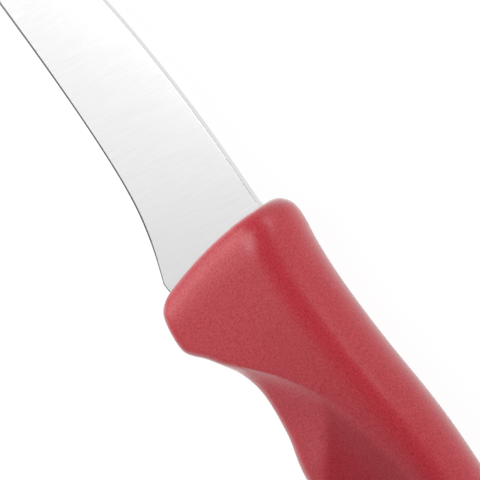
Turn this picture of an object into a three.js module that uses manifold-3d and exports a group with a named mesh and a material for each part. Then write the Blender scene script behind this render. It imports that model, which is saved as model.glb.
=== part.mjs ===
// Peeling knife: a thin beak-shaped blade whose tang is moulded into a one-piece plastic handle.
// Millimetres. +X runs from the blade to the butt, +Y from the cutting edge to the spine, and +Z is up,
// with the knife lying on its side. Outlines are drawn about a datum where the handle's front face crosses
// the knife's long axis, and the finished group is moved to put its origin at the bottom centre of its box.

import * as THREE from 'three';
import { mergeVertices } from 'three/addons/utils/BufferGeometryUtils.js';
import Module from 'manifold-3d';

const wasm = await Module();
wasm.setup();

// Gap between the steel and the plastic moulded round it
const mouldGap = 0.3;

// Blade: overall sizes
const bladeLength = 67;
const bladeThickness = 1.2;
const tipThickness = 0.8;
const heelDepth = 11.45;
const spineHeight = 10.7;
const tipDrop = 4.9;

// Blade: edge and spine, as distances in front of the handle or behind the tip, and heights off the long axis
const heelSweep = [[6, -8.1], [13, -6.1], [23, -4.7], [37, -3.6]];
const edgeHook = [[14, -2.95], [6.5, -3.45]];
const spineRise = [[12, 11.65], [24, 12.05], [37, 11.65]];
const spineHook = [[20, 10], [11, 6.7], [4.5, 2]];
const hookWidthClear = 0.6;

// Blade: ground and eased edges
const bevelWidth = 0.35;
const bevelThickness = 0.2;
const spineEase = 0.15;

// Tang: the same sheet of steel, hidden in the handle
const heelRun = 3.6;
const tangStart = 2.6;
const shoulderEnd = 8;
const shoulderHalfWidth = 9.2;
const shoulderFillet = 3;
const shoulderFlat = 0.15;
const tangLength = 64;
const tangWidth = 10;
const tangHeight = 1;
const windowDiameter = 6;
const firstWindow = 24;
const windowPitch = 22;

// Handle: overall sizes
const handleLength = 107;
const handleThickness = 14.8;

// Handle: back and belly lines, as distances behind the front face or in front of the butt
const backFront = [[0, 13.2], [4.7, 12.78], [8.7, 12.16], [13, 11.69], [18, 11.37], [27, 11.09], [42, 11.03]];
const backRear = [[45, 9.8], [25, 8.3], [0, 5.8]];
const flangeBelly = [[0, -12.05], [5, -12.6], [8.6, -12.9], [10.7, -12.45]];
const grooveBelly = [[13.4, -10.1], [16.6, -8.6], [22, -7.65], [29, -9], [37, -11.22]];
const palmBelly = [[47, -13.2], [33, -13], [18, -11.9], [0, -12.6]];

// Handle: how far both sides draw in to a slim waist, over the same distances
const waistFront = [[16, 0], [27, 0.2], [37, 0.55], [47, 0.95]];
const waistRear = [[48, 1.1], [34, 0.8], [20, 0]];

// Handle: rounding at the front face and the butt, as a run along the handle and a depth across it
const rimRound = [6, 3];
const frontBackRound = [3, 3];
const frontBellyRound = [1.75, 1.75];
const frontSet = 0.43;
const frontBowRadius = 70;
const frontBowHeight = 5.5;
const bowFade = 12;
const buttRound = [5, 5];
const buttBackRound = [7.5, 7.5];
const buttBellyRound = [7, 7];
const buttBowRadius = 22;
const buttBowHeight = -3;

// Handle: section, whose back and belly are flat arches of a wide crown between two corner arcs
const backCorners = [[2, 3], [10, 4.2], [20, 5], [32, 4.3], [44, 3.5]];
const bellyCornerFront = 2.8;
const bellyCornerRear = 5;
const bellyCornerChange = [14, 45];
const crownTurn = 76;
const cornerShare = 0.42;
const cornerRoom = 0.9;

// Handle: side recess under the crease, a steep cove at the finger groove that opens into a dished grip
const creaseRise = [[12.5, -9.5], [15.3, -6.6], [19.7, -2.4], [23.9, 0.85], [29.3, 3.6]];
const creaseRun = [[34.6, 5.15], [39.6, 6.1], [46, 6.5]];
const creaseRear = [[40, 5.4], [14, 4]];
const coveStart = [14, 18];
const coveDepth = 3.6;
const coveSlopes = [
  [14, 1.8], [18, 1.45], [20, 1.12], [24, 0.62], [28, 0.33], [31, 0.2], [35, 0.07], [40, 0.02],
];
const gripApex = [29.8, 0.9];
const gripTurn = 46;
const gripSlope = 0.26;
const gripDepth = 0.9;
const gripSoft = 0.8;
const gripWall = 6.5;
const recessLimit = 4;
const gripFadeRear = [26, 9];
const creaseClear = 0.3;
const seamClear = 0.8;

// Smoothness of the lofts
const lineSteps = 24;
const bladeStations = 44;
const endSteps = 6;
const frontPitch = 1.2;
const rearPitch = 3;
const denseReach = 38;
const crownSteps = 3;
const cornerSteps = 5;
const lowerSteps = 7;
const wallSteps = 4;
const upperSteps = 3;
const windowSegments = 28;

// A height line y(x) through anchor points, read off a spline.
function lineThrough(anchors) {
  const curve = new THREE.SplineCurve(anchors.map(([x, y]) => new THREE.Vector2(x, y)));
  const points = curve.getPoints((anchors.length - 1) * lineSteps);
  return (x) => {
    const after = Math.max(1, points.findIndex((point) => point.x >= x));
    const high = points[x > points.at(-1).x ? points.length - 1 : after];
    const low = points[points.indexOf(high) - 1];
    const share = THREE.MathUtils.clamp((x - low.x) / (high.x - low.x), 0, 1);
    return THREE.MathUtils.lerp(low.y, high.y, share);
  };
}

// How far a rounded end of the given run and depth has drawn in, at a distance from that end.
function endInset(distance, [run, depth]) {
  const inside = THREE.MathUtils.clamp(1 - distance / run, 0, 1);
  return depth * (1 - Math.sqrt(1 - inside * inside));
}

// A value that keeps its slope and then levels off softly at a limit.
function levelOff(value, limit) {
  return value / Math.hypot(1, value / limit);
}

// Closed mesh through half sections that start and end on the mid plane, mirrored across it.
// Sections follow each other along +X and run from the low side to the high side.
function mirroredLoft(halves) {
  const count = halves[0].length;
  const ring = 2 * count - 2;
  const positions = [];
  for (const half of halves) {
    const far = half.slice(1, -1).reverse();
    half.forEach((point) => positions.push(point.x, point.y, point.z));
    far.forEach((point) => positions.push(point.x, point.y, -point.z));
  }
  const triangles = [];
  const addQuad = (a, b, c, d) => {
    if (a !== b && b !== c) triangles.push(a, b, c);
    if (c !== d && d !== a) triangles.push(a, c, d);
  };
  for (let i = 0; i < halves.length - 1; i++) {
    for (let j = 0; j < ring; j++) {
      const next = (j + 1) % ring;
      addQuad(i * ring + j, (i + 1) * ring + j, (i + 1) * ring + next, i * ring + next);
    }
  }
  const far = (j) => (ring - j) % ring;
  const last = (halves.length - 1) * ring;
  for (let j = 0; j < count - 1; j++) {
    addQuad(j, j + 1, far(j + 1), far(j));
    addQuad(last + far(j), last + far(j + 1), last + j + 1, last + j);
  }
  const geometry = new THREE.BufferGeometry();
  geometry.setAttribute('position', new THREE.Float32BufferAttribute(positions, 3));
  geometry.setIndex(triangles);
  return geometry;
}

function toSolid(geometry) {
  const bare = geometry.clone();
  bare.deleteAttribute('normal');
  bare.deleteAttribute('uv');
  const merged = mergeVertices(bare);
  return new wasm.Manifold(new wasm.Mesh({
    numProp: 3,
    vertProperties: merged.attributes.position.array,
    triVerts: new Uint32Array(merged.index.array),
  }));
}

function toGeometry(solid) {
  const mesh = solid.getMesh();
  const geometry = new THREE.BufferGeometry();
  geometry.setAttribute('position', new THREE.BufferAttribute(mesh.vertProperties, 3));
  geometry.setIndex(new THREE.BufferAttribute(mesh.triVerts, 1));
  geometry.computeVertexNormals();
  return geometry;
}

// Blade outline, from the heel to the tip. The anchors of both curves pair up across the blade.
const tip = new THREE.Vector2(-bladeLength, -tipDrop);
const aheadOfHandle = ([reach, height]) => new THREE.Vector2(-reach, height);
const behindTip = ([reach, height]) => new THREE.Vector2(reach - bladeLength, height);

const edgeCurve = new THREE.SplineCurve([
  new THREE.Vector2(0, -heelDepth),
  ...heelSweep.map(aheadOfHandle),
  ...edgeHook.map(behindTip),
  tip,
]);

const spineCurve = new THREE.SplineCurve([
  new THREE.Vector2(0, spineHeight),
  ...spineRise.map(aheadOfHandle),
  ...spineHook.map(behindTip),
  tip,
]);

// Half section of the blade between an edge point and a spine point: bevel, flat-ground face, eased spine.
function bladeHalf(edge, spine, thickness, grow) {
  const up = spine.clone().sub(edge).normalize();
  const width = spine.distanceTo(edge);
  const fit = Math.min(1, width / (bladeThickness + bevelWidth));
  const at = (height, z) => {
    const point = edge.clone().addScaledVector(up, height);
    return new THREE.Vector3(point.x, point.y, z);
  };
  const halfSpine = fit * thickness / 2 + grow;
  const halfBevel = fit * bevelThickness / 2 + grow;
  return [
    at(-grow, 0),
    at(fit * bevelWidth, halfBevel),
    at(width + grow - fit * spineEase, halfSpine),
    at(width + grow, halfSpine - fit * spineEase),
    at(width + grow, 0),
  ];
}

// Ground blade, with a short run of the same section into the handle.
function groundBlade(grow) {
  const halves = [];
  for (let i = 0; i <= bladeStations; i++) {
    const t = 1 - i / bladeStations;
    const edge = edgeCurve.getPoint(t);
    const spine = spineCurve.getPoint(t);
    if (spine.distanceTo(edge) < hookWidthClear) continue;
    halves.push(bladeHalf(edge, spine, THREE.MathUtils.lerp(bladeThickness, tipThickness, t), grow));
  }
  const runEdge = new THREE.Vector2(heelRun + grow, -heelDepth);
  const runSpine = new THREE.Vector2(heelRun + grow, spineHeight);
  halves.push(bladeHalf(runEdge, runSpine, bladeThickness, grow));
  return toSolid(mirroredLoft(halves));
}

// Tang outline: wide shoulders behind the heel, then a narrower tongue with a round end and two windows.
function tangShape(grow) {
  const low = tangHeight - tangWidth / 2 - grow;
  const high = tangHeight + tangWidth / 2 + grow;
  const wide = shoulderHalfWidth + grow;
  const step = shoulderEnd + grow;
  const endRadius = tangWidth / 2 + grow;
  const endCentre = tangLength - tangWidth / 2;
  const filletRoom = shoulderHalfWidth - shoulderFlat - tangWidth / 2 - Math.abs(tangHeight);
  const fillet = Math.min(shoulderFillet, filletRoom) - grow;
  const shape = new THREE.Shape();
  shape.moveTo(tangStart - grow, -wide);
  shape.lineTo(step, -wide);
  shape.lineTo(step, low - fillet);
  shape.quadraticCurveTo(step, low, step + fillet, low);
  shape.lineTo(endCentre, low);
  shape.absarc(endCentre, tangHeight, endRadius, -Math.PI / 2, Math.PI / 2, false);
  shape.lineTo(step + fillet, high);
  shape.quadraticCurveTo(step, high, step, high + fillet);
  shape.lineTo(step, wide);
  shape.lineTo(tangStart - grow, wide);
  shape.closePath();
  for (const x of [firstWindow, firstWindow + windowPitch]) {
    const hole = new THREE.Path();
    hole.absarc(x, tangHeight, windowDiameter / 2 - grow, 0, 2 * Math.PI, true);
    shape.holes.push(hole);
  }
  return shape;
}

function tangPlate(grow) {
  const depth = bladeThickness + 2 * grow;
  const plate = new THREE.ExtrudeGeometry(tangShape(grow), {
    depth,
    bevelEnabled: false,
    curveSegments: windowSegments,
  });
  plate.translate(0, 0, -depth / 2);
  return toSolid(plate);
}

// The blade with its tang, or, grown by the mould gap, the space that it takes up in the handle.
function bladeSolid(grow = 0) {
  return groundBlade(grow).add(tangPlate(grow));
}

// Handle lines in the plan view, and its half thickness, with both ends rounded
const fromButt = ([reach, height]) => [handleLength - reach, height];
const backSpline = lineThrough([...backFront, ...backRear.map(fromButt)]);
const bellySpline = lineThrough([...flangeBelly, ...grooveBelly, ...palmBelly.map(fromButt)]);
const creaseSpline = lineThrough([...creaseRise, ...creaseRun, ...creaseRear.map(fromButt)]);
const waist = lineThrough([...waistFront, ...waistRear.map(fromButt)]);
const backCorner = lineThrough(backCorners);
const coveSlope = lineThrough(coveSlopes);

function backLine(x) {
  return backSpline(x) - endInset(x, frontBackRound) - endInset(handleLength - x, buttBackRound);
}

function bellyLine(x) {
  return bellySpline(x) + endInset(x, frontBellyRound) + endInset(handleLength - x, buttBellyRound);
}

function halfThickness(x) {
  return handleThickness / 2 - waist(x) - endInset(x, rimRound) - endInset(handleLength - x, buttRound);
}

// Depth of the side recess: the cove under the crease, then the dished grip behind its ridge.
function recessDepth(x, y, crease) {
  const below = crease - y;
  if (below <= 0) return 0;
  const { smoothstep, degToRad } = THREE.MathUtils;
  const cove = levelOff(coveSlope(x) * below, coveDepth) * smoothstep(x, ...coveStart);
  const turn = degToRad(gripTurn);
  const behindRidge = (x - gripApex[0]) * Math.cos(turn) + (y - gripApex[1]) * Math.sin(turn);
  const fall = (behindRidge + Math.hypot(behindRidge, gripSoft)) / 2;
  const grip = levelOff(gripSlope * fall, gripDepth) * smoothstep(below, 0, gripWall);
  const fade = 1 - smoothstep(x, handleLength - gripFadeRear[0], handleLength - gripFadeRear[1]);
  return fade * levelOff(cove + grip, recessLimit);
}

// Points along a flat arch, from its crown on the mid plane to the flat side: a half crown and a corner arc.
// A belly arch rises to its side and a back arch drops to it.
function arch(crown, corner, half, rise) {
  const turn = THREE.MathUtils.degToRad(crownTurn);
  const wide = (half - corner * (1 - Math.cos(turn))) / Math.cos(turn);
  const sag = wide * (1 - Math.sin(turn));
  const points = [];
  for (let i = 0; i < crownSteps; i++) {
    const angle = THREE.MathUtils.lerp(Math.PI / 2, turn, i / crownSteps);
    points.push(new THREE.Vector2(crown + rise * wide * (1 - Math.sin(angle)), wide * Math.cos(angle)));
  }
  for (let i = 0; i <= cornerSteps; i++) {
    const angle = THREE.MathUtils.lerp(turn, 0, i / cornerSteps);
    const drop = sag + corner * (Math.sin(turn) - Math.sin(angle));
    points.push(new THREE.Vector2(crown + rise * drop, half - corner * (1 - Math.cos(angle))));
  }
  return points;
}

function between(from, to, steps, half) {
  return Array.from({ length: steps - 1 }, (_, i) => (
    new THREE.Vector2(THREE.MathUtils.lerp(from, to, (i + 1) / steps), half)
  ));
}

// Half section of the handle, from the belly round the side to the back, with the recess pressed into it.
function handleHalf(x) {
  const half = halfThickness(x);
  const { lerp, smoothstep } = THREE.MathUtils;
  const largest = Math.min(cornerShare * (backLine(x) - bellyLine(x)), cornerRoom * half);
  const bellyCorner = lerp(bellyCornerFront, bellyCornerRear, smoothstep(x, ...bellyCornerChange));
  const belly = arch(bellyLine(x), Math.min(largest, bellyCorner), half, 1);
  const back = arch(backLine(x), Math.min(largest, backCorner(x)), half, -1).reverse();
  const low = belly.at(-1).x;
  const high = back[0].x;
  const crease = Math.min(creaseSpline(x), high - creaseClear);
  const seam = Math.max(crease, low + Math.min(seamClear, (high - low) / 2));
  const foot = seam - Math.min(gripWall, (seam - low) / 2);
  const outline = [
    ...belly,
    ...between(low, foot, lowerSteps, half),
    new THREE.Vector2(foot, half),
    ...between(foot, seam, wallSteps, half),
    new THREE.Vector2(seam, half),
    ...between(seam, high, upperSteps, half),
    ...back,
  ];
  const frontBow = 1 - smoothstep(x, 0, bowFade);
  const buttBow = smoothstep(x, handleLength - bowFade, handleLength);
  return outline.map(({ x: y, y: z }) => new THREE.Vector3(
    x + frontBow * (frontSet + (y - frontBowHeight) ** 2 / (2 * frontBowRadius))
      - buttBow * (y - buttBowHeight) ** 2 / (2 * buttBowRadius),
    y,
    z * (1 - recessDepth(x, y, crease) / (handleThickness / 2)),
  ));
}

// Stations along the handle: close together on the rounded ends and the sculpted front, wider behind.
function handleStations() {
  const frontEnd = Math.max(rimRound[0], frontBackRound[0], frontBellyRound[0]);
  const rearEnd = Math.max(buttRound[0], buttBackRound[0], buttBellyRound[0]);
  const quarter = Array.from({ length: endSteps + 1 }, (_, i) => 1 - Math.cos(i / endSteps * Math.PI / 2));
  const run = (from, to, pitch) => {
    const steps = Math.ceil((to - from) / pitch);
    return Array.from({ length: steps - 1 }, (_, i) => THREE.MathUtils.lerp(from, to, (i + 1) / steps));
  };
  return [
    ...quarter.map((share) => frontEnd * share),
    ...run(frontEnd, denseReach, frontPitch),
    denseReach,
    ...run(denseReach, handleLength - rearEnd, rearPitch),
    ...quarter.map((share) => handleLength - rearEnd * share).reverse(),
  ];
}

function handleSolid() {
  const body = toSolid(mirroredLoft(handleStations().map(handleHalf)));
  return body.subtract(bladeSolid(mouldGap));
}

const brushedSteel = new THREE.MeshStandardMaterial({ color: 0xd9dadb, roughness: 0.3, metalness: 1 });
const redPlastic = new THREE.MeshStandardMaterial({ color: 0xb5303c, roughness: 0.55, metalness: 0 });

const blade = new THREE.Mesh(toGeometry(bladeSolid()), brushedSteel);
blade.name = 'blade';

const handle = new THREE.Mesh(toGeometry(handleSolid()), redPlastic);
handle.name = 'handle';

const knife = new THREE.Group();
knife.add(blade, handle);

// Origin at the bottom centre of the whole knife
const box = new THREE.Box3().setFromObject(knife);
const middle = box.getCenter(new THREE.Vector3());
const base = new THREE.Vector3(middle.x, middle.y, box.min.z);
knife.children.forEach((piece) => piece.position.sub(base));

export default knife;
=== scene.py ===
"""Peeling knife: the dressed model of a beak-shaped blade moulded into a grained red handle.

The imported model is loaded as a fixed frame. The blade and the handle are modelled again with finer surfaces,
ride on the knife's one body and stand for its plain solids. Sizes in the classes are millimetres, and meshes
are in metres. Plan positions run along +X behind the front face of the handle, heights along +Y from the
knife's long axis, and +Z is up through its thickness.
"""

from __future__ import annotations

import logging
import math
from bisect import bisect_left
from dataclasses import dataclass
from enum import Enum
from typing import Callable
from typing import Sequence

import bmesh
import bpy
from mathutils import Matrix
from mathutils import Vector

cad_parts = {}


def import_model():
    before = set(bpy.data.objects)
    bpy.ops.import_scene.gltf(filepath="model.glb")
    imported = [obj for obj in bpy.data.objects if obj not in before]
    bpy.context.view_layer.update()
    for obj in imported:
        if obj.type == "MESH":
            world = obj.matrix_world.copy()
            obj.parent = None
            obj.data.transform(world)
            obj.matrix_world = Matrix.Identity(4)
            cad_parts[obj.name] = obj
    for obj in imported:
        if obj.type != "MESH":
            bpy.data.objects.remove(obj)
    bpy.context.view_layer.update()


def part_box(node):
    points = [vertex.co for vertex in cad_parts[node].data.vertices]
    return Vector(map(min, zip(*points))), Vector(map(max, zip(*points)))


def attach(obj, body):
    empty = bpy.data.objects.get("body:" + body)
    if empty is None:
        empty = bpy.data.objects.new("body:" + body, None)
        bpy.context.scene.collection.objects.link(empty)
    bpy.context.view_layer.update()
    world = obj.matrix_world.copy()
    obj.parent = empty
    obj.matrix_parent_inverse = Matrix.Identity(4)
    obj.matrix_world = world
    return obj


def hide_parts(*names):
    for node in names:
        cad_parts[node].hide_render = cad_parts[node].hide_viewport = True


LOG = logging.getLogger("peeling_knife")
MM = 0.001
BODY = "root"
# Vertex attribute that carries the painted shade of the dished grips.
GRIP_PAINTED_SHADE = "grip"

Point = tuple[float, float]
Pair = tuple[float, float]
Anchors = tuple[Point, ...]
Place = tuple[float, float, float]
Colour = tuple[float, float, float, float]
Socket = bpy.types.NodeSocket


def blend(start: float, end: float, share: float) -> float:
    """Number at a share of the way from start to end."""
    return start + (end - start) * share


def smooth_step(value: float, low: float, high: float) -> float:
    """Soft ramp from 0 at low to 1 at high."""
    share = min(max((value - low) / (high - low), 0.0), 1.0)
    return share * share * (3.0 - 2.0 * share)


def end_inset(distance: float, run: float, depth: float) -> float:
    """How far a rounded end of that run and depth has drawn in, at a distance from the end."""
    inside = min(max(1 - distance / run, 0.0), 1.0)
    return depth * (1 - math.sqrt(1 - inside * inside))


def level_off(value: float, limit: float) -> float:
    """Value that keeps its slope and then levels off softly at a limit."""
    return value / math.sqrt(1 + (value / limit) ** 2)


class PlanCurve:
    """Smooth curve in plan through anchor points, read along its length or as a height over x."""

    STEPS = 24

    def __init__(self, anchors: Sequence[Point]) -> None:
        """Samples the curve once.

        Args:
            anchors: Points that the curve passes through, in order.
        """
        self.anchors = [Vector(anchor) for anchor in anchors]
        count = (len(self.anchors) - 1) * self.STEPS
        self.samples = sorted((self.at(step / count) for step in range(count + 1)), key=lambda spot: spot.x)
        self.reaches = [sample.x for sample in self.samples]

    def at(self, share: float) -> Vector:
        """Finds a point along the curve.

        Args:
            share: How far along, from 0 at the first anchor to 1 at the last.

        Returns:
            The point in plan.
        """
        last = len(self.anchors) - 1
        span = min(int(share * last), last - 1)
        weight = share * last - span
        before, start, end, after = (self.anchors[min(max(span + step, 0), last)] for step in (-1, 0, 1, 2))
        leave = (end - before) / 2
        arrive = (after - start) / 2
        cubic = (start - end) * 2 + leave + arrive
        square = (end - start) * 3 - leave * 2 - arrive
        return ((cubic * weight + square) * weight + leave) * weight + start

    def height(self, x: float) -> float:
        """Reads the curve as a height, held level past both ends.

        Args:
            x: Distance along the knife.

        Returns:
            The height there.
        """
        after = min(max(bisect_left(self.reaches, x), 1), len(self.samples) - 1)
        low = self.samples[after - 1]
        high = self.samples[after]
        share = min(max((x - low.x) / (high.x - low.x), 0.0), 1.0)
        return blend(low.y, high.y, share)


def select_only(piece: bpy.types.Object) -> None:
    """Makes one object the only selected and active one.

    Args:
        piece: Object to select.
    """
    bpy.ops.object.select_all(action="DESELECT")
    piece.select_set(True)
    bpy.context.view_layer.objects.active = piece


def place_vertices(piece: bpy.types.Object, place: Callable[[Vector], Vector]) -> None:
    """Moves every vertex of a blocked-out primitive to its place on the form.

    Args:
        piece: Object whose mesh is shaped.
        place: Gives a vertex's new place, in metres, from where the primitive has it.
    """
    for vertex in piece.data.vertices:
        vertex.co = place(vertex.co)
    piece.data.update()


def apply_modifier(piece: bpy.types.Object, kind: str, **settings: object) -> None:
    """Adds a modifier to an object, sets it and applies it.

    Args:
        piece: Object to change.
        kind: Blender's name for the modifier.
        settings: Values for the modifier's own properties.
    """
    select_only(piece)
    bpy.ops.object.modifier_add(type=kind)
    modifier = piece.modifiers[-1]
    for name, value in settings.items():
        setattr(modifier, name, value)
    bpy.ops.object.modifier_apply(modifier=modifier.name)


def cut_away(piece: bpy.types.Object, cutter: bpy.types.Object) -> None:
    """Cuts one object's solid out of another and removes the cutter."""
    apply_modifier(piece, "BOOLEAN", operation="DIFFERENCE", solver="EXACT", object=cutter)
    bpy.data.objects.remove(cutter)


@dataclass(frozen=True)
class KnifeFrame:
    """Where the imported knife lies: the datum at which the handle's front face crosses the long axis."""

    datum: Vector

    @classmethod
    def of_handle(cls, front_set: float, lowest_belly: float) -> KnifeFrame:
        """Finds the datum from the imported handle's box.

        Args:
            front_set: How far the foremost point of the handle lies behind the datum, in millimetres.
            lowest_belly: Height of the lowest point of the belly line off the long axis, in millimetres.

        Returns:
            The frame, in metres.
        """
        low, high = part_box("handle")
        return cls(Vector((low.x - front_set * MM, low.y - lowest_belly * MM, (low.z + high.z) / 2)))

    def settle(self, piece: bpy.types.Object) -> None:
        """Moves a mesh that was modelled about the datum to its place in the frame.

        Args:
            piece: Object whose mesh is moved.
        """
        select_only(piece)
        bpy.ops.object.mode_set(mode="EDIT")
        bpy.ops.mesh.select_all(action="SELECT")
        bpy.ops.transform.translate(value=self.datum)
        bpy.ops.object.mode_set(mode="OBJECT")


class Bench:
    """A new node material, with short ways to add nodes to it and to link them."""

    def __init__(self, name: str) -> None:
        """Starts the material with its surface shader.

        Args:
            name: Name of the material.
        """
        self.material = bpy.data.materials.new(name)
        self.material.use_nodes = True
        self.tree = self.material.node_tree
        self.surface = self.tree.nodes["Principled BSDF"]

    def node(self, kind: str, **sockets: object) -> bpy.types.Node:
        """Adds a node.

        Args:
            kind: Blender's name for the node type.
            sockets: Input values, by input name with underscores for spaces.

        Returns:
            The node.
        """
        made = self.tree.nodes.new(kind)
        for name, value in sockets.items():
            made.inputs[name.replace("_", " ")].default_value = value
        return made

    def link(self, out: Socket, into: Socket) -> None:
        """Joins an output to an input."""
        self.tree.links.new(out, into)

    def object_place(self) -> Socket:
        """Output that gives the place on the object."""
        return self.node("ShaderNodeTexCoord").outputs["Object"]

    def noise(self, place: Socket, scale: float, detail: float, roughness: float) -> Socket:
        """Adds a noise pattern.

        Args:
            place: Output of the place that the pattern is read at.
            scale: Count of specks in a metre.
            detail: Count of finer layers.
            roughness: Share that each finer layer keeps.

        Returns:
            Output of the pattern, from 0 to 1.
        """
        made = self.node("ShaderNodeTexNoise", Scale=scale, Detail=detail, Roughness=roughness)
        self.link(place, made.inputs["Vector"])
        return made.outputs["Fac"]

    def tint(self, share: Socket, low: Colour, high: Colour) -> Socket:
        """Blends two colours by a 0 to 1 pattern.

        Args:
            share: Pattern output.
            low: Colour where the pattern is 0.
            high: Colour where the pattern is 1.

        Returns:
            Output of the blended colour.
        """
        mixed = self.node("ShaderNodeMix")
        mixed.data_type = "RGBA"
        mixed.inputs["A"].default_value = low
        mixed.inputs["B"].default_value = high
        self.link(share, mixed.inputs["Factor"])
        return mixed.outputs["Result"]

    def combine(self, operation: str, one: Socket, other: Socket) -> Socket:
        """Works out one value from two.

        Args:
            operation: Blender's name for the operation.
            one: Output of the first value.
            other: Output of the second value.

        Returns:
            Output of the result.
        """
        worked = self.node("ShaderNodeMath")
        worked.operation = operation
        self.link(one, worked.inputs[0])
        self.link(other, worked.inputs[1])
        return worked.outputs["Value"]

    def emboss(self, height: Socket, strength: float, depth: float) -> None:
        """Raises a pattern as fine relief on the surface.

        Args:
            height: Pattern output.
            strength: Share of the relief that shows.
            depth: Depth of the full relief, in metres.
        """
        relief = self.node("ShaderNodeBump", Strength=strength, Distance=depth)
        self.link(height, relief.inputs["Height"])
        self.link(relief.outputs["Normal"], self.surface.inputs["Normal"])

    def spread(self, value: Socket, low: float, high: float) -> Socket:
        """Maps a 0 to 1 pattern to a range.

        Args:
            value: Pattern output.
            low: Result where the pattern is 0.
            high: Result where the pattern is 1.

        Returns:
            Output of the mapped value.
        """
        mapped = self.node("ShaderNodeMapRange", To_Min=low, To_Max=high)
        self.link(value, mapped.inputs["Value"])
        return mapped.outputs["Result"]


@dataclass(frozen=True)
class BrushedSteel:
    """Stainless steel with fine brush lines."""

    name: str = "brushed_steel"
    pale: Colour = (0.66, 0.66, 0.66, 1.0)
    dull: Colour = (0.55, 0.55, 0.555, 1.0)
    roughness: Pair = (0.26, 0.36)
    line_turn: float = 78.5
    lines_per_metre: float = 6300.0
    line_layers: Pair = (3.0, 0.6)
    line_stretch: float = 0.025
    line_relief: float = 0.15
    line_depth: float = 2e-6

    def material(self) -> bpy.types.Material:
        """Builds the material.

        Returns:
            The material, patterned in Object coordinates.
        """
        bench = Bench(self.name)
        turn = bench.node("ShaderNodeMapping", Rotation=(0.0, 0.0, -math.radians(self.line_turn)))
        bench.link(bench.object_place(), turn.inputs["Vector"])
        drawn = bench.node("ShaderNodeMapping", Scale=(self.line_stretch, 1.0, 1.0))
        bench.link(turn.outputs["Vector"], drawn.inputs["Vector"])
        lines = bench.noise(drawn.outputs["Vector"], self.lines_per_metre, *self.line_layers)
        bench.link(bench.tint(lines, self.dull, self.pale), bench.surface.inputs["Base Color"])
        bench.link(bench.spread(lines, *self.roughness), bench.surface.inputs["Roughness"])
        bench.emboss(lines, self.line_relief, self.line_depth)
        bench.surface.inputs["Metallic"].default_value = 1.0
        return bench.material


@dataclass(frozen=True)
class GrainedPlastic:
    """Matt red plastic with a fine moulded grain, with painted shade in the dished grips: darker colour and
    weaker gloss there.
    """

    name: str = "grained_red_plastic"
    deep: Colour = (0.36, 0.010, 0.026, 1.0)
    light: Colour = (0.64, 0.036, 0.053, 1.0)
    roughness: Pair = (0.38, 0.44)
    gleam: Pair = (0.0, 1.0)
    grains_per_metre: float = 3600.0
    grain_layers: Pair = (2.0, 0.55)
    clouds_per_metre: float = 260.0
    cloud_layers: Pair = (3.0, 0.5)
    relief: float = 0.9
    grain_depth: float = 3e-5
    # Painted shade in the dished grips: the colour is multiplied darker there and the gloss is halved.
    grip_shade_tint: Colour = (0.82, 0.76, 0.80, 1.0)
    grip_shade_gleam: float = 0.5
    haze: float = 0.7
    haze_roughness: float = 0.3
    coat: float = 1.0
    coat_ior: float = 1.2
    coat_roughness: float = 0.25

    def material(self) -> bpy.types.Material:
        """Builds the material.

        Returns:
            The material, patterned in Object coordinates.
        """
        bench = Bench(self.name)
        place = bench.object_place()
        grain = bench.noise(place, self.grains_per_metre, *self.grain_layers)
        clouds = bench.noise(place, self.clouds_per_metre, *self.cloud_layers)
        # Painted shade: the grip attribute multiplies the colour darker and lowers the gloss in the dished
        # grips.
        grip = bench.node("ShaderNodeAttribute")
        grip.attribute_name = GRIP_PAINTED_SHADE
        shaded = bench.node("ShaderNodeMix")
        shaded.data_type = "RGBA"
        shaded.blend_type = "MULTIPLY"
        shaded.inputs["B"].default_value = self.grip_shade_tint
        bench.link(grip.outputs["Fac"], shaded.inputs["Factor"])
        bench.link(bench.tint(grain, self.deep, self.light), shaded.inputs["A"])
        bench.link(shaded.outputs["Result"], bench.surface.inputs["Base Color"])
        bench.link(bench.spread(clouds, *self.roughness), bench.surface.inputs["Roughness"])
        shade_gleam_share = bench.spread(grip.outputs["Fac"], 1.0, self.grip_shade_gleam)
        gleam = bench.combine("MULTIPLY", bench.spread(grain, *self.gleam), shade_gleam_share)
        bench.link(gleam, bench.surface.inputs["Specular IOR Level"])
        bench.emboss(grain, self.relief, self.grain_depth)
        self.soften(bench.surface)
        return bench.material

    def soften(self, surface: bpy.types.Node) -> None:
        """Sets the haze at grazing angles and the soft gloss over the grain.

        Args:
            surface: Surface shader of the plastic.
        """
        surface.inputs["Sheen Weight"].default_value = self.haze
        surface.inputs["Sheen Roughness"].default_value = self.haze_roughness
        surface.inputs["Coat Weight"].default_value = self.coat
        surface.inputs["Coat IOR"].default_value = self.coat_ior
        surface.inputs["Coat Roughness"].default_value = self.coat_roughness


class SteelFinish(Enum):
    """Finish of a face of the blade, by its material index: brushed, darkened on the edge bevel as a painted
    reflection, or paler on the spine as a painted highlight.
    """

    BRUSHED = 0
    GROUND = 1
    POLISHED = 2

    def steel(self) -> BrushedSteel:
        """Gives the steel of this finish.

        Returns:
            The finish of those faces.
        """
        # Painted reflection: the edge bevel's steel is darkened to stand for the dark reflection the bevel
        # shows.
        if self is SteelFinish.GROUND:
            return BrushedSteel("ground_edge_painted_dark", pale=(0.27, 0.27, 0.27, 1.0), dull=(0.20, 0.20, 0.205, 1.0))
        # Painted highlight: the spine's steel is paler to brighten the floor reflection it shows.
        if self is SteelFinish.POLISHED:
            return BrushedSteel("spine_painted_highlight", pale=(0.78, 0.78, 0.78, 1.0), dull=(0.70, 0.70, 0.70, 1.0))
        return BrushedSteel()


Finish = BrushedSteel | GrainedPlastic


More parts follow.
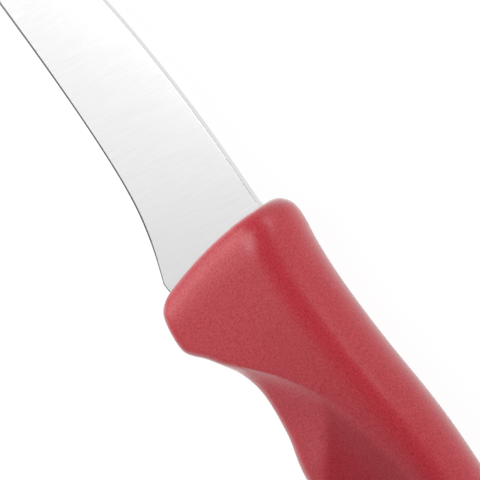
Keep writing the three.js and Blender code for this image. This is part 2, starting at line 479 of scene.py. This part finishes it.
@dataclass(frozen=True)
class StudioWhite:
    """White floor that the camera and reflections see as a bright sweep, and that keeps a faint shadow."""

    name: str = "studio_white"
    bounce: Colour = (0.80, 0.80, 0.80, 1.0)
    shadowed: Colour = (0.08, 0.08, 0.08, 1.0)
    glow: float = 0.96

    def material(self) -> bpy.types.Material:
        """Builds the material.

        Returns:
            The material: plain white for bounced light, and a glow with the shadow over it for the rest.
        """
        bench = Bench(self.name)
        tree = bench.tree
        tree.nodes.remove(bench.surface)
        plain = bench.node("ShaderNodeBsdfDiffuse", Color=self.bounce)
        shade = bench.node("ShaderNodeBsdfDiffuse", Color=self.shadowed)
        glow = bench.node("ShaderNodeEmission", Strength=self.glow)
        seen = tree.nodes.new("ShaderNodeAddShader")
        bench.link(shade.outputs["BSDF"], seen.inputs[0])
        bench.link(glow.outputs["Emission"], seen.inputs[1])
        path = tree.nodes.new("ShaderNodeLightPath")
        direct = bench.combine("MAXIMUM", path.outputs["Is Camera Ray"], path.outputs["Is Glossy Ray"])
        watched = bench.combine("MAXIMUM", direct, path.outputs["Is Transmission Ray"])
        choice = tree.nodes.new("ShaderNodeMixShader")
        bench.link(watched, choice.inputs["Fac"])
        bench.link(plain.outputs["BSDF"], choice.inputs[1])
        bench.link(seen.outputs["Shader"], choice.inputs[2])
        bench.link(choice.outputs["Shader"], tree.nodes["Material Output"].inputs["Surface"])
        return bench.material


@dataclass(frozen=True)
class Clearance:
    """How far the socket in the handle stands off the steel."""

    face: float = 0.0
    edge: float = 0.0
    spine: float = 0.0


@dataclass(frozen=True)
class BladeSection:
    """One section across the sheet of steel, from its cutting edge to its spine."""

    edge: Vector
    spine: Vector
    half_spine: float
    half_bevel: float
    bevel: float
    half_edge: float


@dataclass
class Blade:
    """Stamped and ground steel: the beak-shaped blade, and the tang of the same sheet inside the handle."""

    name: str = "beak_blade"
    length: float = 67.0
    thickness: float = 1.2
    tip_thickness: float = 0.8
    heel_depth: float = 11.15
    spine_height: float = 10.7
    tip_drop: float = 4.9
    heel_sweep: Anchors = ((6, -8.35), (13, -6.2), (23, -4.72), (37, -3.6))
    edge_hook: Anchors = ((14, -2.95), (6.5, -3.45))
    spine_rise: Anchors = ((12, 11.65), (24, 12.05), (37, 11.65))
    spine_hook: Anchors = ((20, 10), (11, 6.7), (4.5, 2))
    least_width: float = 0.6
    bevel_width: float = 0.5
    bevel_thickness: float = 0.28
    heel_bevel: float = 0.4
    bevel_growth: float = 9.0
    spine_ease: float = 0.15
    ease_steps: int = 3
    square_turn: float = 1.0
    stations: int = 110
    columns: int = 12

    heel_run: float = 3.6
    shoulder_end: float = 8.0
    shoulder_half_width: float = 9.2
    shoulder_fillet: float = 3.0
    tang_length: float = 64.0
    tang_width: float = 10.0
    tang_height: float = 1.0
    fillet_steps: int = 6
    end_steps: int = 10
    window_diameter: float = 6.0
    first_window: float = 24.0
    window_pitch: float = 22.0
    window_sides: int = 48
    punch_share: float = 4.0
    crisp: float = 1e-3
    sharp: float = 1e-6
    weld: float = 1e-7
    spine_facing: float = 0.4
    smooth_angle: float = 10.0

    def edge_line(self) -> PlanCurve:
        """Draws the cutting edge.

        Returns:
            The curve from the heel to the tip.
        """
        swept = [(-reach, height) for reach, height in self.heel_sweep]
        hooked = [(reach - self.length, height) for reach, height in self.edge_hook]
        return PlanCurve([(0, -self.heel_depth), *swept, *hooked, (-self.length, -self.tip_drop)])

    def spine_line(self) -> PlanCurve:
        """Draws the spine.

        Returns:
            The curve from the handle to the tip.
        """
        risen = [(-reach, height) for reach, height in self.spine_rise]
        hooked = [(reach - self.length, height) for reach, height in self.spine_hook]
        return PlanCurve([(0, self.spine_height), *risen, *hooked, (-self.length, -self.tip_drop)])

    def ground_sections(self) -> list[BladeSection]:
        """Sections of the ground blade, from the tip to where the heel ends inside the handle.

        Returns:
            The sections, in order along +X.
        """
        edge_line = self.edge_line()
        spine_line = self.spine_line()
        made = []
        for step in range(self.stations + 1):
            share = 1 - step / self.stations
            edge = edge_line.at(share)
            spine = spine_line.at(share)
            width = (spine - edge).length
            if width < self.least_width:
                continue
            fit = min(1.0, width / (self.thickness + self.bevel_width))
            thickness = blend(self.thickness, self.tip_thickness, share) * fit
            made.append(self.ground(edge, spine, thickness, fit * self.bevel_share(-edge.x)))
        run = Vector((self.heel_run, 0))
        heel = Vector((0, -self.heel_depth))
        back = Vector((0, self.spine_height))
        made.append(self.ground(heel + run, back + run, self.thickness, self.heel_bevel))
        return made

    def bevel_share(self, reach: float) -> float:
        """Share of the full bevel at a distance in front of the handle: narrow at the heel, then full."""
        return blend(self.heel_bevel, 1.0, smooth_step(reach, 0, self.bevel_growth))

    def ground(self, edge: Vector, spine: Vector, thickness: float, fit: float) -> BladeSection:
        """Section with a sharp edge.

        Args:
            edge: Point of the cutting edge in plan.
            spine: Point of the spine in plan.
            thickness: Thickness at the spine.
            fit: Share of the full bevel that the width has room for.

        Returns:
            The section.
        """
        half_bevel = fit * self.bevel_thickness / 2
        return BladeSection(edge, spine, thickness / 2, half_bevel, fit * self.bevel_width, 0.0)

    def tang_sections(self) -> list[BladeSection]:
        """Sections of the tang, from the shoulders to its round end.

        Returns:
            The sections, square at both edges, in order along +X.
        """
        half = self.tang_width / 2
        shoulder = self.shoulder_half_width
        widths = [
            (x, shoulder - self.tang_height, shoulder + self.tang_height)
            for x in (self.heel_run + self.crisp, self.shoulder_end)
        ]
        for i in range(self.fillet_steps + 1):
            share = i / self.fillet_steps
            reach = half + self.shoulder_fillet * (1 - share) ** 2
            widths.append((self.shoulder_end + self.crisp + self.shoulder_fillet * share**2, reach, reach))
        for i in range(self.end_steps):
            angle = i / self.end_steps * math.pi / 2
            reach = half * math.cos(angle)
            widths.append((self.tang_length - half + half * math.sin(angle), reach, reach))
        plate = self.thickness / 2
        return [
            BladeSection(
                Vector((x, self.tang_height - below)),
                Vector((x, self.tang_height + above)),
                plate,
                plate,
                self.bevel_width,
                plate,
            )
            for x, above, below in widths
        ]

    def build(self, room: Clearance = Clearance()) -> bpy.types.Object:
        """Models the steel about the datum.

        Args:
            room: How much larger than the steel to make it, to cut its socket.

        Returns:
            The closed piece.
        """
        sections = self.ground_sections() + self.tang_sections()
        last_station = len(sections) - 1
        bpy.ops.object.select_all(action="DESELECT")
        bpy.ops.mesh.primitive_grid_add(x_subdivisions=last_station, y_subdivisions=self.columns, size=2)
        piece = bpy.context.object
        piece.name = self.name

        def place(corner: Vector) -> Vector:
            """Finds a grid corner's place on the sheet.

            Args:
                corner: The corner on the flat grid, from -1 to 1 each way.

            Returns:
                Its place about the datum, in metres.
            """
            station = round((corner.x + 1) / 2 * last_station)
            column = round((corner.y + 1) / 2 * self.columns)
            return self.sheet_point(sections[station], column, room) * MM

        place_vertices(piece, place)
        self.thicken(piece)
        self.ease_spine(piece)
        self.punch_windows(piece, room)
        return piece

    def sheet_point(self, section: BladeSection, column: int, room: Clearance) -> Vector:
        """Point on the upper face of the sheet.

        Args:
            section: Section that the point is on.
            column: Count of columns from the cutting edge.
            room: How much larger than the steel to make it.

        Returns:
            The point, in millimetres.
        """
        across = section.spine - section.edge
        width = across.length
        across.normalize()
        if column == 0:
            height = -room.edge
            z = section.half_edge + (room.face if section.half_edge else 0.0)
        else:
            share = (column - 1) / (self.columns - 1)
            height = blend(section.bevel, width, share) + room.spine * share
            z = blend(section.half_bevel, section.half_spine, share) + room.face
        spot = section.edge + across * height
        return Vector((spot.x, spot.y, z))

    def thicken(self, piece: bpy.types.Object) -> None:
        """Extrudes the upper face through to its mirror image and closes the sharp edge.

        Args:
            piece: The upper face of the sheet.
        """
        select_only(piece)
        bpy.ops.object.mode_set(mode="EDIT")
        bpy.ops.mesh.select_all(action="SELECT")
        bpy.ops.mesh.extrude_region_move()
        bpy.ops.transform.resize(value=(1, 1, -1), center_override=(0, 0, 0))
        bpy.ops.mesh.select_all(action="SELECT")
        bpy.ops.mesh.remove_doubles(threshold=self.weld)
        bpy.ops.mesh.normals_make_consistent(inside=False)
        bpy.ops.object.mode_set(mode="OBJECT")

    def ease_spine(self, piece: bpy.types.Object) -> None:
        """Rounds both long edges of the spine.

        Args:
            piece: The thickened sheet.
        """
        select_only(piece)
        bpy.ops.object.mode_set(mode="EDIT")
        bpy.ops.mesh.select_mode(type="EDGE")
        bpy.ops.mesh.select_all(action="DESELECT")
        sheet = bmesh.from_edit_mesh(piece.data)
        spine_line = self.spine_line()
        for edge in sheet.edges:
            middle = (edge.verts[0].co + edge.verts[1].co) / 2 / MM
            along = abs(edge.verts[0].co.z - edge.verts[1].co.z) < self.tip_thickness / 2 * MM
            high = middle.x < 0 and abs(middle.y - spine_line.height(middle.x)) < self.spine_ease
            square = len(edge.link_faces) == 2 and edge.calc_face_angle() > self.square_turn
            edge.select_set(along and high and square)
        bmesh.update_edit_mesh(piece.data)
        bpy.ops.mesh.bevel(offset=self.spine_ease * MM, segments=self.ease_steps, affect="EDGES")
        bpy.ops.object.mode_set(mode="OBJECT")

    def mark_finishes(self, piece: bpy.types.Object) -> None:
        """Marks the ground faces along the cutting edge, which get steel darkened as a painted reflection, and
        the spine faces, which get paler steel as a painted highlight.

        Args:
            piece: The steel, modelled about the datum.
        """
        mesh = piece.data
        for face in mesh.polygons:
            lowest = min(abs(mesh.vertices[corner].co.z) for corner in face.vertices)
            finish = SteelFinish.BRUSHED
            # The edge bevel takes the darkened steel, a painted dark reflection.
            if lowest < self.sharp:
                finish = SteelFinish.GROUND
            # The spine faces take the paler steel, a painted highlight.
            elif face.normal.y > self.spine_facing:
                finish = SteelFinish.POLISHED
            face.material_index = finish.value

    def punch_windows(self, piece: bpy.types.Object, room: Clearance) -> None:
        """Cuts the round windows that the plastic fills.

        Args:
            piece: The eased sheet.
            room: How much larger than the steel it is.
        """
        for x in (self.first_window, self.first_window + self.window_pitch):
            bpy.ops.object.select_all(action="DESELECT")
            bpy.ops.mesh.primitive_cylinder_add(
                vertices=self.window_sides,
                radius=(self.window_diameter / 2 - room.face) * MM,
                depth=self.punch_share * self.thickness * MM,
                location=(x * MM, self.tang_height * MM, 0),
            )
            cut_away(piece, bpy.context.object)


class LongEdge(Enum):
    """Long edge of the handle, by the way from its crown to the flat side."""

    BELLY = 1
    BACK = -1


@dataclass
class Handle:
    """One-piece moulded handle: flange, finger groove, creased sides, dished grips and a swelling palm."""

    name: str = "moulded_handle"
    length: float = 107.0
    thickness: float = 14.8

    back_front: Anchors = (
        (0, 14.3), (4.7, 13.8), (8.7, 12.9), (13, 12.25), (18, 11.86), (27, 11.57), (42, 11.57),
    )
    back_rear: Anchors = ((45, 9.8), (25, 8.3), (0, 5.8))
    flange_belly: Anchors = ((0, -12.05), (5, -12.6), (8.6, -12.9), (10.7, -12.45))
    groove_belly: Anchors = ((13.4, -10.1), (16.6, -8.6), (22, -7.65), (29, -9), (37, -11.22))
    palm_belly: Anchors = ((47, -13.2), (33, -13), (18, -11.9), (0, -12.6))

    waist_front: Anchors = ((16, 0.0), (27, 0.2), (37, 0.55), (47, 0.95))
    waist_rear: Anchors = ((48, 1.1), (34, 0.8), (20, 0.0))

    rim_round: Pair = (6.0, 3.0)
    front_back_round: Pair = (3.0, 3.0)
    front_belly_round: Pair = (1.75, 1.75)
    front_set: float = 0.43
    front_bow_radius: float = 70.0
    front_bow_height: float = 5.5
    bow_fade: float = 12.0
    butt_round: Pair = (5.0, 5.0)
    butt_back_round: Pair = (7.5, 7.5)
    butt_belly_round: Pair = (7.0, 7.0)
    butt_bow_radius: float = 22.0
    butt_bow_height: float = -3.0

    back_corners: Anchors = ((2, 5.6), (10, 4.8), (20, 5.0), (32, 4.3), (44, 3.5))
    belly_corner_front: float = 2.8
    belly_corner_rear: float = 5.0
    belly_corner_change: Pair = (14, 45)
    back_turn: float = 60.0
    belly_turn: float = 76.0
    corner_share: float = 0.42
    corner_room: float = 0.9

    crease_rise: Anchors = ((12.5, -9.5), (15.3, -6.6), (19.7, -2.4), (23.9, 0.85), (29.3, 3.6))
    crease_run: Anchors = ((34.6, 5.15), (39.6, 6.1), (46, 6.5))
    crease_rear: Anchors = ((40, 5.4), (14, 4))
    cove_start: Pair = (14, 18)
    cove_depth: float = 3.6
    cove_slopes: Anchors = (
        (14, 1.0), (18, 0.72), (20, 0.62), (24, 0.44), (28, 0.33), (31, 0.2), (35, 0.07), (40, 0.02),
    )
    grip_apex: Point = (29.8, 0.9)
    grip_turn: float = 46.0
    grip_slope: float = 0.26
    grip_depth: float = 0.9
    grip_soft: float = 0.8
    grip_wall: float = 6.5
    grip_fade_rear: Pair = (26, 9)
    # Edges of the painted shade in the dished grips: behind the ridge, under the crease and above the belly.
    shade_ridge: Pair = (-0.6, 1.6)
    shade_edge: Pair = (0.2, 2.6)
    shade_belly: Pair = (1.5, 5.0)
    recess_limit: float = 4.0
    crease_clear: float = 0.3
    seam_clear: float = 0.8
    socket_room: Clearance = Clearance(face=0.06, edge=0.05, spine=0.5)

    crown_steps: int = 4
    corner_steps: int = 7
    lower_steps: int = 9
    wall_steps: int = 6
    upper_steps: int = 7
    across_steps: int = 12
    end_steps: int = 8
    front_pitch: float = 0.9
    rear_pitch: float = 1.6
    dense_reach: float = 50.0
    smooth_angle: float = 40.0

    def __post_init__(self) -> None:
        """Draws the plan lines through their anchors."""
        self.back_spline = self.plan(self.back_front, self.back_rear)
        self.belly_spline = self.plan((*self.flange_belly, *self.groove_belly), self.palm_belly)
        self.crease_spline = self.plan((*self.crease_rise, *self.crease_run), self.crease_rear)
        self.waist = self.plan(self.waist_front, self.waist_rear)
        self.back_corner = PlanCurve(self.back_corners)
        self.cove_slope = PlanCurve(self.cove_slopes)

    def plan(self, front: Anchors, rear: Anchors) -> PlanCurve:
        """Joins anchors measured behind the front face to anchors measured in front of the butt."""
        return PlanCurve([*front, *[(self.length - reach, height) for reach, height in rear]])

    def back_line(self, x: float) -> float:
        """Height of the back, with both ends rounded."""
        ends = end_inset(x, *self.front_back_round) + end_inset(self.length - x, *self.butt_back_round)
        return self.back_spline.height(x) - ends

    def belly_line(self, x: float) -> float:
        """Height of the belly, with both ends rounded."""
        ends = end_inset(x, *self.front_belly_round) + end_inset(self.length - x, *self.butt_belly_round)
        return self.belly_spline.height(x) + ends

    def lowest_belly(self) -> float:
        """Height of the lowest point of the belly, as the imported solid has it."""
        return min(self.belly_spline.height(x) for x in self.belly_spline.reaches if x > self.dense_reach)

    def half_thickness(self, x: float) -> float:
        """Half of the thickness, with both ends rounded."""
        ends = end_inset(x, *self.rim_round) + end_inset(self.length - x, *self.butt_round)
        return self.thickness / 2 - self.waist.height(x) - ends

    def recess(self, x: float, y: float, crease: float) -> float:
        """Depth of the side recess: the cove under the crease, then the dished grip behind its ridge.

        Args:
            x: Distance behind the front face.
            y: Height off the long axis.
            crease: Height of the crease there.

        Returns:
            The depth below the flat side.
        """
        below = crease - y
        if below <= 0:
            return 0.0
        slope = self.cove_slope.height(x)
        cove = level_off(slope * below, self.cove_depth) * smooth_step(x, *self.cove_start)
        behind = self.behind_ridge(x, y)
        fall = (behind + math.hypot(behind, self.grip_soft)) / 2
        wall = smooth_step(below, 0, self.grip_wall)
        grip = wall * level_off(self.grip_slope * fall, self.grip_depth)
        return self.rear_fade(x) * level_off(cove + grip, self.recess_limit)

    def behind_ridge(self, x: float, y: float) -> float:
        """How far a point lies behind the ridge that the dished grip starts at."""
        turn = math.radians(self.grip_turn)
        return (x - self.grip_apex[0]) * math.cos(turn) + (y - self.grip_apex[1]) * math.sin(turn)

    def rear_fade(self, x: float) -> float:
        """Share of the side recess that is left, down to 0 at its rear end."""
        return 1 - smooth_step(x, *(self.length - reach for reach in self.grip_fade_rear))

    def paint_grip_shade(self, piece: bpy.types.Object) -> None:
        """Stores on each vertex its share of the painted shade in the dished grips, which darkens the colour
        and weakens the gloss there.

        Args:
            piece: The handle, modelled about the datum.
        """
        shares = piece.data.attributes.new(GRIP_PAINTED_SHADE, "FLOAT", "POINT")
        for vertex, share in zip(piece.data.vertices, shares.data):
            x, y, _ = vertex.co / MM
            inside = smooth_step(self.behind_ridge(x, y), *self.shade_ridge)
            inside *= smooth_step(self.crease_spline.height(x) - y, *self.shade_edge)
            inside *= smooth_step(y - self.belly_line(x), *self.shade_belly)
            share.value = inside * self.rear_fade(x)

    def arch(self, edge: LongEdge, crown: float, corner: float, half: float) -> list[Point]:
        """Points along a flat arch: half of a wide crown, then a corner arc that meets the flat side.

        Args:
            edge: Long edge of the handle that the arch closes.
            crown: Height of the crown on the mid plane.
            corner: Radius of the corner arc.
            half: Half of the thickness there.

        Returns:
            The points as height and distance from the mid plane.
        """
        turn = math.radians(self.belly_turn if edge is LongEdge.BELLY else self.back_turn)
        rise = edge.value
        wide = (half - corner * (1 - math.cos(turn))) / math.cos(turn)
        sag = wide * (1 - math.sin(turn))
        made = []
        for step in range(self.crown_steps):
            angle = blend(math.pi / 2, turn, step / self.crown_steps)
            made.append((crown + rise * wide * (1 - math.sin(angle)), wide * math.cos(angle)))
        for step in range(self.corner_steps + 1):
            angle = blend(turn, 0, step / self.corner_steps)
            drop = sag + corner * (math.sin(turn) - math.sin(angle))
            made.append((crown + rise * drop, half - corner * (1 - math.cos(angle))))
        return made

    def half_section(self, x: float) -> list[Vector]:
        """Half section from the belly round the side to the back, with the recess pressed into it.

        Args:
            x: Distance behind the front face.

        Returns:
            The points, in millimetres, on the upper side of the mid plane.
        """
        half = self.half_thickness(x)
        belly_y = self.belly_line(x)
        back_y = self.back_line(x)
        largest = min(self.corner_share * (back_y - belly_y), self.corner_room * half)
        belly_change = smooth_step(x, *self.belly_corner_change)
        belly_corner = min(largest, blend(self.belly_corner_front, self.belly_corner_rear, belly_change))
        back_corner = min(largest, self.back_corner.height(x))
        belly = self.arch(LongEdge.BELLY, belly_y, belly_corner, half)
        back = self.arch(LongEdge.BACK, back_y, back_corner, half)[::-1]
        low = belly[-1][0]
        high = back[0][0]
        crease = min(self.crease_spline.height(x), high - self.crease_clear)
        seam = max(crease, low + min(self.seam_clear, (high - low) / 2))
        foot = seam - min(self.grip_wall, (seam - low) / 2)
        outline = list(belly)
        outline += [(blend(low, foot, (i + 1) / self.lower_steps), half) for i in range(self.lower_steps)]
        outline += [(blend(foot, seam, (i + 1) / self.wall_steps), half) for i in range(self.wall_steps)]
        outline += [(blend(seam, high, (i + 1) / self.upper_steps), half) for i in range(self.upper_steps)]
        outline += back[1:]
        return [self.pressed(x, y, z, crease) for y, z in outline]

    def pressed(self, x: float, y: float, z: float, crease: float) -> Vector:
        """Bows a section point at the ends and presses the recess into it.

        Args:
            x: Distance behind the front face.
            y: Height off the long axis.
            z: Distance from the mid plane.
            crease: Height of the crease there.

        Returns:
            The point on the handle, in millimetres.
        """
        front = 1 - smooth_step(x, 0, self.bow_fade)
        butt = smooth_step(x, self.length - self.bow_fade, self.length)
        bow = front * (self.front_set + (y - self.front_bow_height) ** 2 / (2 * self.front_bow_radius))
        bow -= butt * (y - self.butt_bow_height) ** 2 / (2 * self.butt_bow_radius)
        kept = 1 - self.recess(x, y, crease) / (self.thickness / 2)
        return Vector((x + bow, y, z * kept))

    def stations(self) -> list[float]:
        """Places of the sections: close on the rounded ends and the sculpted front, wider behind.

        Returns:
            The distances behind the front face, in order.
        """
        front_end = max(self.rim_round[0], self.front_back_round[0], self.front_belly_round[0])
        rear_end = max(self.butt_round[0], self.butt_back_round[0], self.butt_belly_round[0])
        quarter = [1 - math.cos(i / self.end_steps * math.pi / 2) for i in range(self.end_steps + 1)]
        made = [front_end * share for share in quarter]
        for start, end, pitch in (
            (front_end, self.dense_reach, self.front_pitch),
            (self.dense_reach, self.length - rear_end, self.rear_pitch),
        ):
            count = math.ceil((end - start) / pitch)
            made += [blend(start, end, (i + 1) / count) for i in range(count)]
        return made + [self.length - rear_end * share for share in reversed(quarter[:-1])]

    def build(self, socket: bpy.types.Object) -> bpy.types.Object:
        """Models the handle about the datum, with the socket for the steel cut into it.

        Args:
            socket: Solid of the space that the steel takes up, which is used up.

        Returns:
            The closed piece.
        """
        halves = [self.half_section(x) for x in self.stations()]
        around = len(halves[0]) - 1
        along = len(halves) - 1
        tall = around - self.across_steps
        piece = self.block_out(along, tall)
        corner_row = self.across_steps // 2

        def place(corner: Vector) -> Vector:
            """Finds a block corner's place on the handle.

            Args:
                corner: The corner on the gridded cube, from -1 to 1 each way.

            Returns:
                Its place about the datum, in metres.
            """
            station = round((corner.x + 1) / 2 * along)
            row = round((corner.y + 1) / 2 * tall)
            across = round((corner.z + 1) / 2 * self.across_steps) - corner_row
            half = halves[station]
            side = math.copysign(1.0, across)
            if row == 0:
                spot = half[abs(across)]
            elif row == tall:
                spot = half[around - abs(across)]
            else:
                spot = half[corner_row + row]
                side = across / corner_row
            return Vector((spot.x, spot.y, spot.z * side)) * MM

        place_vertices(piece, place)
        apply_modifier(piece, "SUBSURF", levels=1, render_levels=1)
        cut_away(piece, socket)
        # Stores the painted shade of the dished grips on the vertices.
        self.paint_grip_shade(piece)
        return piece

    def block_out(self, along: int, tall: int) -> bpy.types.Object:
        """Cuts a cube into the grid of faces that the sections shape.

        Args:
            along: Count of faces along the handle.
            tall: Count of faces from the belly to the back.

        Returns:
            The gridded cube, from -1 to 1 each way.
        """
        bpy.ops.object.select_all(action="DESELECT")
        bpy.ops.mesh.primitive_cube_add(size=2)
        piece = bpy.context.object
        piece.name = self.name
        bpy.ops.object.mode_set(mode="EDIT")
        bpy.ops.mesh.select_mode(type="EDGE")
        for axis, count in enumerate((along, tall, self.across_steps)):
            block = bmesh.from_edit_mesh(piece.data)
            for edge in block.edges:
                run = edge.verts[0].co - edge.verts[1].co
                edge.select_set(abs(run[axis]) == max(abs(part) for part in run))
            bmesh.update_edit_mesh(piece.data)
            bpy.ops.mesh.subdivide(number_cuts=count - 1)
        bpy.ops.object.mode_set(mode="OBJECT")
        return piece


@dataclass(frozen=True)
class SoftBox:
    """One large soft studio lamp, placed by its offset from the datum and aimed at it."""

    name: str
    offset: Place
    size: Pair
    power: float

    def hang(self, datum: Vector) -> None:
        """Adds the lamp.

        Args:
            datum: Datum of the knife, in metres.
        """
        place = datum + Vector(self.offset) * MM
        bpy.ops.object.light_add(type="AREA", location=place)
        lamp = bpy.context.object
        lamp.name = self.name
        lamp.rotation_euler = (datum - place).to_track_quat("-Z", "Y").to_euler()
        lamp.data.shape = "RECTANGLE"
        lamp.data.size, lamp.data.size_y = (side * MM for side in self.size)
        lamp.data.energy = self.power
        lamp.visible_camera = False


@dataclass(frozen=True)
class PhotoView:
    """The photograph's camera: how the knife is turned to it, and what its square frame holds."""

    tilt: float = 32.0
    turn: float = 4.0
    lean: float = 51.5
    datum_pixel: Point = (212.0, 243.0)
    frame_pixels: float = 480.0
    pixels_per_mm: float = 6.8
    distance: float = 900.0
    sensor: float = 36.0
    sight: float = 100.0

    def shoot(self, datum: Vector) -> None:
        """Adds the camera and makes it the scene's own.

        Args:
            datum: Datum of the knife, in metres.
        """
        tilt = math.radians(self.tilt)
        turn = math.radians(self.turn)
        lean = math.radians(self.lean)
        to_tip = Vector((-math.cos(turn), math.sin(turn) * math.sin(tilt), math.sin(turn) * math.cos(tilt)))
        to_spine = Vector((0.0, math.cos(tilt), -math.sin(tilt)))
        right = to_spine * math.sin(lean) - to_tip * math.cos(lean)
        up = to_tip * math.sin(lean) + to_spine * math.cos(lean)
        back = right.cross(up)
        shift_x = (self.frame_pixels / 2 - self.datum_pixel[0]) / self.pixels_per_mm
        shift_y = (self.datum_pixel[1] - self.frame_pixels / 2) / self.pixels_per_mm
        centre = datum + (right * shift_x + up * shift_y) * MM
        bpy.ops.object.camera_add()
        camera = bpy.context.object
        camera.name = "photo_camera"
        turned = Matrix((right, up, back)).transposed().to_4x4()
        camera.matrix_world = Matrix.Translation(centre + back * self.distance * MM) @ turned
        camera.data.sensor_width = self.sensor
        camera.data.lens = self.sensor * self.distance * self.pixels_per_mm / self.frame_pixels
        camera.data.clip_end = self.sight
        bpy.context.scene.camera = camera


@dataclass(frozen=True)
class Studio:
    """White floor, dim room and soft lamps."""

    floor_side: float = 80.0
    floor_drop: float = 0.05
    room: Colour = (0.05, 0.05, 0.05, 1.0)
    reflected: Colour = (0.3, 0.3, 0.3, 1.0)
    seen: Colour = (1.0, 1.0, 1.0, 1.0)
    lamps: tuple[SoftBox, ...] = (
        SoftBox("blade_box", (-92, -65, 155), (215, 210), 0.131),
        SoftBox("over_box", (-50, 0, 110), (80, 80), 0.068),
        SoftBox("front_card", (-115, -75, 65), (160, 80), 0.075),
        SoftBox("belly_box", (20, -200, 150), (150, 150), 0.042),
        SoftBox("belly_rear_card", (150, -250, 60), (200, 120), 0.09),
        SoftBox("spine_card", (-48, 140, 22), (150, 40), 0.064),
        SoftBox("spine_rear_card", (300, 240, 50), (200, 100), 0.7),
    )

    def set_up(self, datum: Vector) -> None:
        """Builds the floor, the room and the lamps.

        Args:
            datum: Datum of the knife, in metres.
        """
        bpy.ops.object.select_all(action="DESELECT")
        bpy.ops.mesh.primitive_plane_add(size=self.floor_side, location=(0, 0, -self.floor_drop * MM))
        floor = bpy.context.object
        floor.name = "studio_floor"
        floor.data.materials.append(StudioWhite().material())
        self.light_room()
        for lamp in self.lamps:
            lamp.hang(datum)
        bpy.context.scene.view_settings.view_transform = "Standard"

    def light_room(self) -> None:
        """Sets the world: dim as a light, a soft grey in reflections and white to the camera."""
        world = bpy.data.worlds.new("dim_room")
        world.use_nodes = True
        tree = world.node_tree
        path = tree.nodes.new("ShaderNodeLightPath")
        shown = tree.nodes["Background"].outputs["Background"]
        tree.nodes["Background"].inputs["Color"].default_value = self.room
        for ray, colour in (("Is Glossy Ray", self.reflected), ("Is Camera Ray", self.seen)):
            backdrop = tree.nodes.new("ShaderNodeBackground")
            backdrop.inputs["Color"].default_value = colour
            choice = tree.nodes.new("ShaderNodeMixShader")
            tree.links.new(path.outputs[ray], choice.inputs["Fac"])
            tree.links.new(shown, choice.inputs[1])
            tree.links.new(backdrop.outputs["Background"], choice.inputs[2])
            shown = choice.outputs["Shader"]
        tree.links.new(shown, tree.nodes["World Output"].inputs["Surface"])
        bpy.context.scene.world = world


def dress(piece: bpy.types.Object, finishes: Sequence[Finish], node: str, smooth: float) -> None:
    """Finishes a piece and hands it to the frame.

    Args:
        piece: The piece in its place.
        finishes: Finishes of its faces, by their material index.
        node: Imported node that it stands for.
        smooth: Widest angle, in degrees, that shades as one surface.
    """
    select_only(piece)
    bpy.ops.object.shade_smooth_by_angle(angle=math.radians(smooth))
    for finish in finishes:
        piece.data.materials.append(finish.material())
    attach(piece, BODY)
    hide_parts(node)
    LOG.info("%s: %d faces, stands for %s", piece.name, len(piece.data.polygons), node)


def main() -> None:
    """Builds the knife and its studio in order."""
    logging.basicConfig(level=logging.INFO)
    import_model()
    blade = Blade()
    handle = Handle()
    frame = KnifeFrame.of_handle(handle.front_set, handle.lowest_belly())

    steel = blade.build()
    blade.mark_finishes(steel)
    frame.settle(steel)
    dress(steel, [finish.steel() for finish in SteelFinish], "blade", blade.smooth_angle)

    socket = blade.build(handle.socket_room)
    body = handle.build(socket)
    frame.settle(body)
    dress(body, [GrainedPlastic()], "handle", handle.smooth_angle)

    Studio().set_up(frame.datum)
    PhotoView().shoot(frame.datum)


if __name__ == "__main__":
    main()
